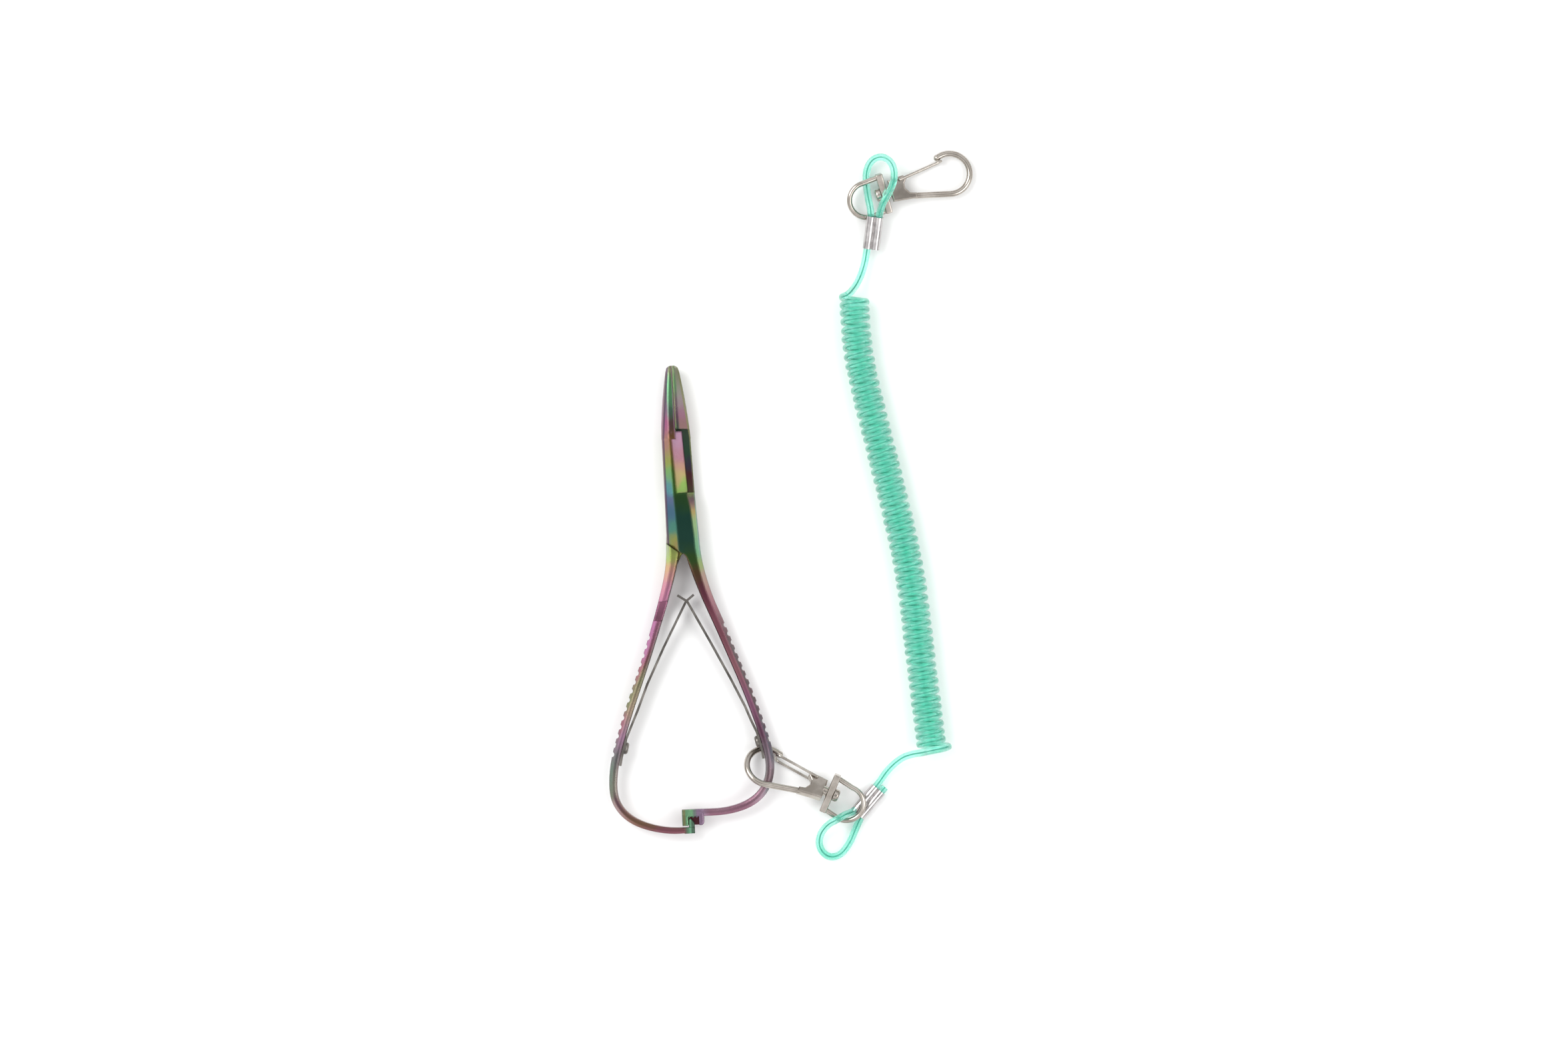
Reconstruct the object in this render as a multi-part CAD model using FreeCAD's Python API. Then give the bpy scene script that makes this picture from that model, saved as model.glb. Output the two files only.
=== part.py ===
import FreeCAD, Part
import math
import os

V = FreeCAD.Vector

# Locking scissor clamp for fishing, with its coiled lanyard and two swivel snap hooks.
# It lies on its back: +Y runs from the handle bows to the jaw tips, +Z is the front face.
# All sizes are in millimetres.

# --- driving dimensions of the clamp ---
tip_y = 70.0                # jaw tips
clamp_thickness = 8.6       # both halves together, over the pivot
layer_gap = 0.06            # between the two halves where they lie on each other
jaw_gap = 0.10              # between the closed jaws
line_bow = 0.7              # how far the jaws' parting line bows to +X at the pivot
line_bow_length = 50.0      # and the length over which it does
pivot_y = 24.0
jaw_start_radius = 26.9     # full-thickness jaws start here, measured from the pivot
blade_end_radius = 26.5     # the scissor blades stay inside this
blade_start_y = 31.5
blade_land = 0.1            # flat left beside a blade's cutting edge
crotch_gap = 0.32           # from a plate's slanting end to the other half's handle
plate_end_y = 10.0
bar_height = 4.0            # handle bars, front to back
bevel_share = 0.15          # how much deeper the outside bevel runs where a handle is thicker
thickness_start_y = 10.0    # the handles start to thin here
taper_end_y = -14.0         # and reach bar_height here
bar_edge_flat = 0.40        # small bevel on the inside edges of a handle
outer_bevel, outer_bevel_share = 1.25, 0.42     # widest bevel outside, and share of a thin bar

# --- pivot screw, put in from the back ---
screw_shank_radius = 2.0
screw_thread_radius = 1.6
screw_head_radius = 2.9
screw_head_height = 1.4
screw_head_gap = 0.1        # round the head, in its seat
screw_sink = 0.15           # head below the back face
screw_end_gap = 0.2         # past the thread, in its blind hole
screw_slot_width, screw_slot_depth = 0.7, 0.6
running_fit = 0.04
front_skin = 1.3            # metal left over the blind threaded hole

# --- grip notches on the outside of the handles ---
notch_radius = 0.85
notch_depth = 0.5
notch_pitch = 2.8
notch_count = 14
right_notch_start, left_notch_start = 30.07, 32.51   # along the handle from its top

# --- leaf springs ---
rivet_distance = 66.25       # along the handle, from its first station
root_above, root_below = 2.9, 5.6
leaf_thickness = 0.7
leaf_width = 3.0
leaf_slot_width = 1.5
leaf_tongue_width = 1.1
leaf_hinge_gap = 0.05
leaf_slot_length, leaf_slot_end = 4.5, 0.8      # below the crossing, and metal left at the tip
leaf_neck_length, leaf_neck_past = 5.0, 1.4     # narrowed below the crossing, and beyond it
rivet_end_gap = 0.25        # from the rivet's end to the outside of the handle
rivet_head_radius = 1.8
rivet_head_height = 1.0
rivet_shank_radius = 0.9

# --- ratchet ---
ratchet_channel_height = 2.4    # front to back, where the hook slides
ratchet_side_gap = 0.15
ratchet_tooth_gap = 0.2
ratchet_tooth_depth = 0.5
ratchet_tooth_count, ratchet_tooth_pitch = 3, 1.15
ratchet_tooth_width, ratchet_tooth_tip = 0.95, 0.25
catch_wall = 0.9            # over the channel
catch_rim = 0.25            # how far the catch stands out from the handle, on each face
catch_joint = 1.15          # how far its top runs up into the handle
beak_slope, beak_nose, beak_flat = 0.5, 0.35, 0.25
beak_back_drop = 1.3
foot_left, foot_top = -3.0, -68.2
catch_left, catch_right = -3.5, 3.0
catch_top, catch_bottom = -64.0, -67.6
window_left, window_right = -1.75, 1.55
post_left, post_right = -1.6, 0.1
post_bottom = -69.97

# --- snap hooks, in their own frame: u along the hook, v to the gate, w across ---
hook_wire_radius = 0.92
hook_bend_radius = 6.05     # centre line of the curved end
hook_bend_u = 17.2
hook_nose_angle = 112.0
hook_neck_half = 3.3
hook_neck_u = -1.4
hook_body_thickness = 2.5
hook_edge_radius = 0.45
nose_bead_share = 1.12      # of the wire's radius
gate_nose_angle = 3.0       # the gate meets the bend this far back from the nose's centre
gate_pin_depth = 0.5        # each pin, in the neck
gate_wire_radius = 0.42
gate_half_width = 1.75
gate_hinge_u, gate_hinge_v = 2.2, 2.55
gate_nose_gap = 0.06
strap_u, strap_thickness = -4.5, 2.1
strap_half_length = 6.1
strap_height = 3.0
strap_edge_radius = 0.4
ring_wire_radius = 0.8
ring_half_width = 5.2
ring_straight_u = -8.9
swivel_radius = 0.95
swivel_head_radius = 1.9
swivel_head_height = 1.6
swivel_head_edge = 0.7
swivel_end_u = 1.0          # the swivel rivet ends here, in the neck
collar_radius = 1.5
bar_clearance = 0.36        # between the clipped hook and the handle bar it goes round

# --- cord and its ferrules ---
cord_diameter = 2.2
coil_diameter = 9.2
ferrule_length = 9.8
ferrule_wall = 0.27
barrel_spacing = 2.3        # between the two cords in a ferrule
cord_corner_share = 0.45    # of the shorter run beside a corner, taken up by its arc

mid_z = clamp_thickness / 2
reach = 90.0                # half side of a block that covers the clamp in X and Y
cord_radius = cord_diameter / 2


def line_x(y):
    """X of the jaws' parting line and the pivot at this Y."""
    return line_bow * ((tip_y - y) / line_bow_length) ** 2


pivot = V(line_x(pivot_y), pivot_y, 0)


def polygon(points):
    return Part.makePolygon(points + [points[0]])


def prism(outline, z_low, z_high):
    """Upright prism on a closed outline of (x, y) points."""
    face = Part.Face(polygon([V(x, y, z_low) for x, y in outline]))
    return face.extrude(V(0, 0, z_high - z_low))


def box(low, high):
    return Part.makeBox(high[0] - low[0], high[1] - low[1], high[2] - low[2], V(*low))


def cylinder(radius, start, end):
    return Part.makeCylinder(radius, (end - start).Length, start, end - start)


def fuse(first, *others):
    return first.multiFuse(list(others)).removeSplitter()


# ---------------------------------------------------------------- clamp halves
# A half is drawn in (p, t): p runs from the parting line towards its own handle, and
# t from the middle plane towards its own plate. side is +1 for the front half, whose
# jaw is on the left and handle on the right, and -1 for the back half.

def section(side, y, points):
    return polygon([V(line_x(y) + side * p, y, mid_z + side * t) for p, t in points])


# y, half width, ridge on the plate side, ridge on the other side, half thickness, edge
jaw_stations = [
    (48.0, 4.35, 2.15, 1.15, 4.00, 2.1),
    (52.0, 4.15, 2.05, 1.10, 3.65, 2.0),
    (56.0, 3.78, 1.90, 1.05, 3.30, 1.9),
    (60.0, 3.32, 1.75, 1.00, 2.95, 1.75),
    (64.0, 2.75, 1.50, 0.95, 2.65, 1.6),
    (68.0, 2.08, 1.15, 0.80, 2.35, 1.45),
    (69.4, 1.65, 0.90, 0.65, 2.05, 1.2),
    (tip_y, 0.80, 0.45, 0.35, 1.45, 0.8),
]


def jaw(side):
    """Jaw of full thickness; it starts on an arc about the pivot, so the other half turns past it."""
    wires = []
    half_gap = jaw_gap / 2
    for y, width, ridge, far_ridge, half, edge in jaw_stations:
        points = [(-half_gap, -half), (-half_gap, half), (-ridge, half),
                  (-width, edge), (-width, -edge), (-far_ridge, -half)]
        wires.append(section(side, y, points))
    solid = Part.makeLoft(wires, True, True)
    far_layer = Part.makeCylinder(jaw_start_radius, clamp_thickness, pivot)
    far_layer.translate(V(0, 0, -side * (clamp_thickness - layer_gap) / 2))
    return solid.cut(far_layer)


# y, half width, ridge, top of the blade's bevel, cutting edge, half thickness
blade_stations = [
    (blade_start_y, 4.5, 1.9, -0.65, 2.7, 1.0),
    (50.3, 4.25, 2.1, -1.25, 2.0, 0.9),
]


def blade(side):
    """Scissor blade: one layer, with a ground bevel down to its cutting edge."""
    wires = []
    low = layer_gap / 2
    for y, width, ridge, bevel, cutting, share in blade_stations:
        high = share * clamp_thickness / 2
        points = [(-width, low), (-width, high / 2), (-ridge, high), (bevel, high),
                  (cutting, low + blade_land), (cutting, low)]
        wires.append(section(side, y, points))
    solid = Part.makeLoft(wires, True, True)
    inside = Part.makeCylinder(blade_end_radius, clamp_thickness, pivot)
    shank = prism([(line_x(40) - side * 9, 60), (line_x(60) - side * jaw_gap / 2, 60),
                   (line_x(40) - side * jaw_gap / 2, 30), (line_x(40) - side * 9, 30)],
                  0, clamp_thickness)
    return solid.common(fuse(inside, shank))


# y, width on the jaw side, its ridge, ridge on the handle side, width on the handle side
plate_stations = [
    (blade_start_y + 0.3, 4.5, 1.9, 2.3, 4.4),
    (27.0, 4.6, 1.7, 3.1, 4.6),
    (20.0, 4.8, 1.55, 3.5, 4.8),
    (15.0, 4.95, 1.5, 3.6, 4.95),
    (plate_end_y, 5.1, 1.5, 4.1, 5.35),
]


def plate(side):
    """Flat plate over the pivot; its lower end leaves room for the other half's handle."""
    wires = []
    low, high = layer_gap / 2, clamp_thickness / 2
    for y, wide, ridge, far_ridge, far_wide in plate_stations:
        points = [(-wide, low), (-wide, 0.5 * high), (-ridge, high), (far_ridge, high),
                  (far_wide, 0.55 * high), (far_wide, low)]
        wires.append(section(side, y, points))
    solid = Part.makeLoft(wires, True, True)
    return solid.cut(crotch_prism(side, 0.0, 0, clamp_thickness))


def crotch_prism(side, shift, z_low, z_high):
    """Space below the slanting end of a plate, on the side away from its handle."""
    at = pivot.x
    outline = [(-9.0, 20.3), (-0.35, 13.75), (0.15, 13.6), (0.75, 13.0), (2.6, plate_end_y - 1),
               (2.6, 0), (-9.0, 0)]
    return prism([(at + side * p, y + shift) for p, y in outline], z_low, z_high)


def handle_section(centre, outer, width, height, bevel):
    """Bar section square to the handle: flat inside, wide bevels outside."""
    half, deep = width / 2, height / 2
    drop = bevel + bevel_share * (height - bar_height)
    points = [(-half, bar_edge_flat), (-half + bar_edge_flat, 0.0), (half - bevel, 0.0), (half, drop)]
    ring = [(n, deep - drop) for n, drop in points]
    ring += [(n, -deep + drop) for n, drop in reversed(points)]
    return polygon([centre + outer * n + V(0, 0, z) for n, z in ring])


# centre of the bar and its width in the plane of the clamp
right_handle = [
    (2.55, 20.0, 5.0), (3.45, 14.0, 4.4), (4.9, 8.0, 3.8), (7.35, 0.0, 3.25), (10.45, -8.0, 3.1),
    (13.4, -16.0, 2.9), (16.4, -24.0, 2.8), (19.15, -32.0, 2.75), (21.6, -40.0, 2.7),
    (23.05, -46.0, 2.65), (23.48, -50.5, 2.6), (22.85, -54.8, 2.55), (20.85, -58.6, 2.5),
    (17.3, -61.5, 2.4), (12.3, -63.3, 2.2), (6.5, -63.95, 2.1), (1.5, -63.95, 2.1),
]
left_handle = [
    (-2.1, 20.0, 3.9), (-2.5, 14.0, 3.8), (-3.6, 8.0, 3.15), (-5.95, 0.0, 2.8), (-8.65, -8.0, 2.6),
    (-11.5, -16.0, 2.5), (-14.55, -24.0, 2.5), (-17.65, -32.0, 2.5), (-20.5, -40.0, 2.5),
    (-22.6, -47.0, 2.5), (-23.6, -53.5, 2.4), (-23.1, -59.2, 2.3), (-20.4, -63.5, 2.2),
    (-16.0, -66.5, 2.1), (-11.0, -68.2, 1.95), (-5.5, -69.0, 1.85), (-0.8, -69.08, 1.78),
]


def bar_height_at(y):
    """Full thickness by the pivot, running out smoothly to bar_height."""
    share = (thickness_start_y - y) / (thickness_start_y - taper_end_y)
    share = min(1.0, max(0.0, share))
    ease = share * share * (3 - 2 * share)
    return clamp_thickness - (clamp_thickness - bar_height) * ease


def handle_frames(stations):
    """Centre, direction and outward normal at each station."""
    centres = [V(x, y, mid_z) for x, y, width in stations]
    frames = []
    for i, centre in enumerate(centres):
        along = centres[min(i + 1, len(centres) - 1)] - centres[max(i - 1, 0)]
        along.normalize()
        frames.append((centre, along))
    return frames


def handle(side, stations):
    wires = []
    for (centre, along), (x, y, width) in zip(handle_frames(stations), stations):
        outer = V(-along.y, along.x, 0) * side
        bevel = min(outer_bevel, outer_bevel_share * width)
        wires.append(handle_section(centre, outer, width, bar_height_at(y), bevel))
    return Part.makeLoft(wires, True, False)


def path_point(stations, length):
    """Point, direction and bar width that far along the handle from its first station."""
    frames = handle_frames(stations)
    for i in range(len(frames) - 1):
        step = frames[i + 1][0] - frames[i][0]
        if length <= step.Length:
            share = length / step.Length
            along = frames[i][1] * (1 - share) + frames[i + 1][1] * share
            along.normalize()
            width = stations[i][2] * (1 - share) + stations[i + 1][2] * share
            return frames[i][0] + step * share, along, width
        length -= step.Length
    return frames[-1][0], frames[-1][1], stations[-1][2]


def grip_notches(side, stations, start):
    """Cross-cut notches down the outside of a handle."""
    cutters = []
    for i in range(notch_count):
        centre, along, width = path_point(stations, start + i * notch_pitch)
        outer = V(-along.y, along.x, 0) * side
        at = centre + outer * (width / 2 - notch_depth + notch_radius)
        cutters.append(cylinder(notch_radius, V(at.x, at.y, -1), V(at.x, at.y, clamp_thickness + 1)))
    return Part.makeCompound(cutters)


def handle_of_half(side, stations, notch_start):
    """A handle, thinned to its own layer where the other half's plate lies over it."""
    bar = handle(side, stations).common(box((-reach, -reach, 0), (reach, reach, clamp_thickness)))
    other = -side
    z_low, z_high = (mid_z - layer_gap / 2, clamp_thickness + 1)
    if side > 0:
        z_low, z_high = (-1, mid_z + layer_gap / 2)
    block = prism([(-12, 40), (12, 40), (12, -6), (-12, -6)], z_low, z_high)
    room = block.cut(crotch_prism(other, -crotch_gap, z_low - 1, z_high + 1))
    bar = bar.cut(room)
    return bar.cut(grip_notches(side, stations, notch_start))


def catch():
    """End of the right handle: a toothed channel that the left handle's hook slides along."""
    deep = bar_height / 2 + catch_rim
    head = box((catch_left, catch_bottom, mid_z - deep), (catch_right, catch_top, mid_z + deep))
    corners = [e for e in head.Edges if abs(e.BoundBox.ZLength - 2 * deep) < 1e-6
               and e.BoundBox.Center.y < catch_top - 1 and e.BoundBox.Center.x > 0]
    head = head.makeFillet(catch_wall, corners)
    half, roof = ratchet_channel_height / 2, catch_top - catch_wall
    top_bar = box((catch_left, roof, mid_z - bar_height / 2),
                  (catch_right - 0.5, catch_top + catch_joint, mid_z + bar_height / 2))
    channel = box((catch_left - 1, catch_bottom - 1, mid_z - half), (catch_right + 1, roof, mid_z + half))
    window = box((window_left, catch_bottom - 1, mid_z), (window_right, roof, mid_z + deep + 1))
    teeth = []
    point = roof - ratchet_tooth_depth
    for i in range(ratchet_tooth_count):
        at = window_left + 0.1 + i * ratchet_tooth_pitch
        outline = [(at, roof + 0.2), (at + ratchet_tooth_width, roof + 0.2),
                   (at + ratchet_tooth_tip, point), (at, point)]
        teeth.append(prism(outline, mid_z - half - 0.1, mid_z + half - 0.2))
    return fuse(head.fuse(top_bar).cut(channel).cut(window), *teeth)


def ratchet_hook():
    """Upright post on the end of the left handle, with a beak under the teeth."""
    half = ratchet_channel_height / 2 - ratchet_side_gap
    roof = catch_top - catch_wall - ratchet_tooth_depth - ratchet_tooth_gap
    foot = box((foot_left, post_bottom, mid_z - bar_height / 2),
               (post_right, foot_top, mid_z + bar_height / 2))
    low, nose = foot_top - 0.4, post_left + beak_nose
    outline = [(post_left, low), (post_left, roof - beak_slope), (nose, roof), (nose + beak_flat, roof),
               (post_right, roof - beak_back_drop), (post_right, low)]
    return foot.fuse(prism(outline, mid_z - half, mid_z + half))


def pivot_screw():
    """Slotted screw: head let into the back half, shank it turns on, thread in the front half."""
    head = cylinder(screw_head_radius - screw_head_gap, pivot + V(0, 0, screw_sink),
                    pivot + V(0, 0, screw_head_height))
    shank = cylinder(screw_shank_radius, pivot + V(0, 0, screw_head_height), pivot + V(0, 0, mid_z))
    thread = cylinder(screw_thread_radius, pivot + V(0, 0, mid_z),
                      pivot + V(0, 0, clamp_thickness - front_skin - screw_end_gap))
    slot = box((pivot.x - screw_head_radius, pivot.y - screw_slot_width / 2, -1),
               (pivot.x + screw_head_radius, pivot.y + screw_slot_width / 2, screw_sink + screw_slot_depth))
    return fuse(head, shank, thread).cut(slot)


def rivet_frame(side, stations):
    """Place of a spring rivet on the inside of a handle, and the inward direction."""
    centre, along, width = path_point(stations, rivet_distance)
    inward = V(along.y, -along.x, 0) * side
    return centre, inward, width


def spring_rivet(side, stations):
    """Domed rivet through the spring's root and the handle bar."""
    centre, inward, width = rivet_frame(side, stations)
    face = centre + inward * (width / 2 + leaf_thickness)
    head = cylinder(rivet_head_radius, face, face + inward * rivet_head_height)
    rim = [e for e in head.Edges if e.Curve.TypeId == "Part::GeomCircle"
           and (e.Curve.Center - face).dot(inward) > rivet_head_height / 2]
    head = head.makeFillet(0.75 * rivet_head_height, rim)
    shank = cylinder(rivet_shank_radius, centre - inward * (width / 2 - rivet_end_gap), face)
    return head.fuse(shank)


# centre lines of the springs' arms above the root, up to the crossing and the bent tip
left_leaf = [(-17.45, -37.2), (-15.4, -32.8), (-12.0, -24.8), (-6.5, -13.9), (0.75, -0.65), (3.15, 1.25)]
right_leaf = [(18.55, -37.3), (16.85, -32.8), (12.9, -24.2), (7.45, -13.1), (1.1, -0.65), (-1.75, 1.3)]


def strip(points, width):
    """Flat strip standing on edge along a line of points."""
    line = [V(x, y, 0) for x, y in points]
    left, right = [], []
    for i, point in enumerate(line):
        before = (point - line[i - 1]) if i else (line[1] - point)
        after = (line[i + 1] - point) if i < len(line) - 1 else before
        before.normalize()
        after.normalize()
        along = before + after
        along.normalize()
        normal = V(-along.y, along.x, 0)
        half = leaf_thickness / 2 / max(0.5, along.dot(before))
        left.append(point + normal * half)
        right.append(point - normal * half)
    outline = [(p.x, p.y) for p in left + right[::-1]]
    return prism(outline, mid_z - width / 2, mid_z + width / 2)


def leaf_root(side, stations):
    """Foot of a spring, flat on the inside of its handle and drilled for the rivet."""
    points = []
    for step in (-root_above, 0.0, root_below / 2, root_below):
        centre, along, width = path_point(stations, rivet_distance + step)
        inward = V(along.y, -along.x, 0) * side
        at = centre + inward * (width / 2 + leaf_thickness / 2)
        points.append((at.x, at.y))
    return points


def spring_pair(side, stations, arm, slot, rivet):
    """The root, and the arm that bends off it; the two meet in a round knuckle."""
    foot_line = leaf_root(side, stations)
    hinge = V(foot_line[0][0], foot_line[0][1], 0)
    knuckle = cylinder(leaf_thickness / 2, hinge + V(0, 0, mid_z - leaf_width / 2),
                       hinge + V(0, 0, mid_z + leaf_width / 2))
    socket = cylinder(leaf_thickness / 2 + leaf_hinge_gap, hinge, hinge + V(0, 0, clamp_thickness))
    root = strip(foot_line, leaf_width).cut(socket).cut(rivet)
    arm_line = [foot_line[0]] + arm
    free = strip(arm_line, leaf_width).fuse(knuckle)
    crossing = V(arm[-2][0], arm[-2][1], 0)
    before = V(arm[-3][0], arm[-3][1], 0) - crossing
    before.normalize()
    if slot:
        tip = V(arm[-1][0], arm[-1][1], 0) - crossing
        past = tip.Length - leaf_slot_end
        tip.normalize()
        route = [crossing + before * leaf_slot_length, crossing, crossing + tip * past]
        cutter = strip_cutter(route, leaf_slot_width)
        free = free.cut(cutter)
    else:
        tip = V(arm[-1][0], arm[-1][1], 0) - crossing
        route = [crossing + before * leaf_neck_length, crossing, crossing + tip * leaf_neck_past]
        whole = strip_cutter(route, leaf_width + 1)
        kept = strip_cutter(route, leaf_tongue_width)
        free = free.cut(whole.cut(kept))
    return root, free.removeSplitter(), hinge


def strip_cutter(route, width):
    """Block round a bent line, wide enough to cut the strip there to this width."""
    normals = []
    for i in range(len(route)):
        along = route[min(i + 1, len(route) - 1)] - route[max(i - 1, 0)]
        along.normalize()
        normals.append(V(-along.y, along.x, 0) * 1.2)
    outline = [(p.x + n.x, p.y + n.y) for p, n in zip(route, normals)]
    outline += [(p.x - n.x, p.y - n.y) for p, n in reversed(list(zip(route, normals)))]
    return prism(outline, mid_z - width / 2, mid_z + width / 2)


# ---------------------------------------------------------------- snap hooks

def tangent_point(point, centre, radius, sign):
    """Where the straight line from a point touches a circle."""
    away = centre - point
    angle = math.atan2(away.y, away.x) - sign * math.asin(radius / away.Length)
    reach = math.sqrt(away.Length ** 2 - radius ** 2)
    return point + V(math.cos(angle), math.sin(angle), 0) * reach


def on_bend(degrees, radius):
    turn = math.radians(degrees)
    return V(hook_bend_u + radius * math.cos(turn), radius * math.sin(turn), 0)


def wire_along(edges, radius):
    """Round wire along a line of tangent edges."""
    path = Part.Wire(edges)
    first = edges[0]
    start = first.valueAt(first.FirstParameter)
    ring = Part.Wire(Part.makeCircle(radius, start, first.tangentAt(first.FirstParameter)))
    return path.makePipeShell([ring], True, True)


def line_edge(a, b):
    return Part.LineSegment(a, b).toShape()


def arc_edge(a, b, c):
    return Part.Arc(a, b, c).toShape()


def hook_body():
    """Cast hook: a neck plate, a round spine, the curved end and the nose."""
    start = V(1.6, -hook_neck_half + 0.9, 0)
    centre = V(hook_bend_u, 0, 0)
    touch = tangent_point(start, centre, hook_bend_radius, 1)
    nose = on_bend(hook_nose_angle, hook_bend_radius)
    wire = wire_along([line_edge(start, touch), arc_edge(touch, on_bend(0, hook_bend_radius), nose)],
                      hook_wire_radius)
    bead = Part.makeSphere(hook_wire_radius * nose_bead_share, nose)
    half = hook_body_thickness / 2
    outline = [(hook_neck_u, -hook_neck_half), (1.5, -hook_neck_half - 0.35), (6.0, -hook_neck_half - 0.9),
               (6.0, -hook_neck_half + 0.75), (4.2, -hook_neck_half + 1.3), (3.2, -0.4), (3.3, 1.1),
               (4.6, 2.6), (3.4, 3.6), (1.2, hook_neck_half + 0.25), (hook_neck_u, hook_neck_half)]
    neck = prism(outline, -half, half)
    rims = [e for e in neck.Edges if abs(abs(e.BoundBox.Center.z) - half) < 1e-6]
    neck = neck.makeFillet(hook_edge_radius, rims)
    collar = cylinder(collar_radius, V(hook_neck_u + 0.5, 0, 0),
                      V(strap_u + strap_thickness + running_fit, 0, 0))
    pin_hole = cylinder(gate_wire_radius + running_fit, V(gate_hinge_u, gate_hinge_v, -5),
                        V(gate_hinge_u, gate_hinge_v, 5))
    shank_hole = cylinder(swivel_radius, V(strap_u, 0, 0), V(swivel_end_u, 0, 0))
    return fuse(wire, bead, neck, collar).cut(pin_hole).cut(shank_hole)


def gate_end():
    """Centre of the gate's cross wire, just inside the nose."""
    reach = hook_bend_radius - hook_wire_radius * nose_bead_share - gate_wire_radius - gate_nose_gap
    return on_bend(hook_nose_angle - gate_nose_angle, reach)


def hook_gate():
    """Wire loop gate: two legs, a rounded cross wire at the nose, and two pins in the neck."""
    end = gate_end()
    along = end - V(gate_hinge_u, gate_hinge_v, 0)
    length = along.Length
    bend = gate_half_width - 0.35
    legs = []
    for w in (-1, 1):
        root = V(0, 0, w * gate_half_width)
        turn_start = V(length - bend, 0, w * gate_half_width)
        middle = V(length - bend + bend * math.sin(math.pi / 4), 0,
                   w * (gate_half_width - bend + bend * math.cos(math.pi / 4)))
        turn_end = V(length, 0, w * (gate_half_width - bend))
        legs.append(wire_along([line_edge(root, turn_start), arc_edge(turn_start, middle, turn_end)],
                               gate_wire_radius))
        pin_end = V(0, 0, w * (hook_body_thickness / 2 - gate_pin_depth))
        legs.append(cylinder(gate_wire_radius, pin_end, V(0, 0, w * gate_half_width)))
        legs.append(Part.makeSphere(gate_wire_radius, root))
    cross_half = gate_half_width - bend
    cross = cylinder(gate_wire_radius, V(length, 0, -cross_half), V(length, 0, cross_half))
    loop = fuse(cross, *legs)
    loop.rotate(V(0, 0, 0), V(0, 0, 1), math.degrees(math.atan2(along.y, along.x)))
    loop.translate(V(gate_hinge_u, gate_hinge_v, 0))
    return loop


def swivel_ring(lean):
    """Base strap with a D of wire; the D leans sideways by a few degrees."""
    slant = math.tan(math.radians(lean))
    strap = box((strap_u, -strap_half_length, -strap_height / 2),
                (strap_u + strap_thickness, strap_half_length, strap_height / 2))
    strap = strap.makeFillet(strap_edge_radius, strap.Edges)
    hole = cylinder(swivel_radius + running_fit, V(strap_u - 1, 0, 0),
                    V(strap_u + strap_thickness + 1, 0, 0))
    start_u = strap_u + strap_thickness / 2

    def leaning(u, v):
        return V(u, v - slant * (start_u - u), 0)

    lower, upper = leaning(start_u, -ring_half_width), leaning(start_u, ring_half_width)
    lower_end = leaning(ring_straight_u, -ring_half_width)
    upper_end = leaning(ring_straight_u, ring_half_width)
    far = leaning(ring_straight_u - ring_half_width, 0)
    wire = wire_along([line_edge(lower, lower_end), arc_edge(lower_end, far, upper_end),
                       line_edge(upper_end, upper)], ring_wire_radius)
    return fuse(strap, wire).cut(hole)


def swivel_rivet():
    """Headed rivet: it turns in the strap and is fast in the hook's neck."""
    back = strap_u - running_fit
    shank = cylinder(swivel_radius, V(back, 0, 0), V(swivel_end_u, 0, 0))
    head = cylinder(swivel_head_radius, V(back - swivel_head_height, 0, 0), V(back, 0, 0))
    rim = [e for e in head.Edges if e.Curve.TypeId == "Part::GeomCircle"
           and e.Curve.Center.x < back - swivel_head_height / 2]
    return fuse(head.makeFillet(swivel_head_edge, rim), shank)


def placed(shape, origin, axis_u, axis_v, turn=0.0):
    """Shape moved from a hook's own frame; turn rolls it about the hook's axis first."""
    copy = shape.copy()
    copy.rotate(V(0, 0, 0), V(1, 0, 0), turn)
    axis_w = axis_u.cross(axis_v)
    copy.transformShape(FreeCAD.Matrix(axis_u.x, axis_v.x, axis_w.x, origin.x,
                                       axis_u.y, axis_v.y, axis_w.y, origin.y,
                                       axis_u.z, axis_v.z, axis_w.z, origin.z, 0, 0, 0, 1), True)
    return copy


def hook_axes(heading, pitch, roll, flipped):
    """Axes of a hook: heading and pitch of its u axis, then the roll about it."""
    yaw, rise, tilt = math.radians(heading), math.radians(pitch), math.radians(roll)
    u = V(math.cos(yaw) * math.cos(rise), math.sin(yaw) * math.cos(rise), math.sin(rise))
    level = V(-math.sin(yaw), math.cos(yaw), 0) * (-1 if flipped else 1)
    up = u.cross(level)
    v = level * math.cos(tilt) + up * math.sin(tilt)
    return u, v


# The lower hook is clipped on the right handle: its nose goes under the bar and its
# spine over it, so its roll follows from the bar's height and the two wires.
lower_hook_origin = V(38.0, -58.6, mid_z)
lower_heading, lower_ring_roll, lower_ring_lean = 154.5, -10.0, 11.0
half_lift = bar_height / 2 + bar_clearance + hook_wire_radius
lower_hook_roll = math.degrees(math.asin(half_lift / hook_bend_radius))
upper_hook_origin = V(69.2, 119.3, 3.0)
upper_heading, upper_pitch, upper_ring_roll, upper_ring_lean = 14.0, -3.0, 12.0, 5.0


# ---------------------------------------------------------------- cord

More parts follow.
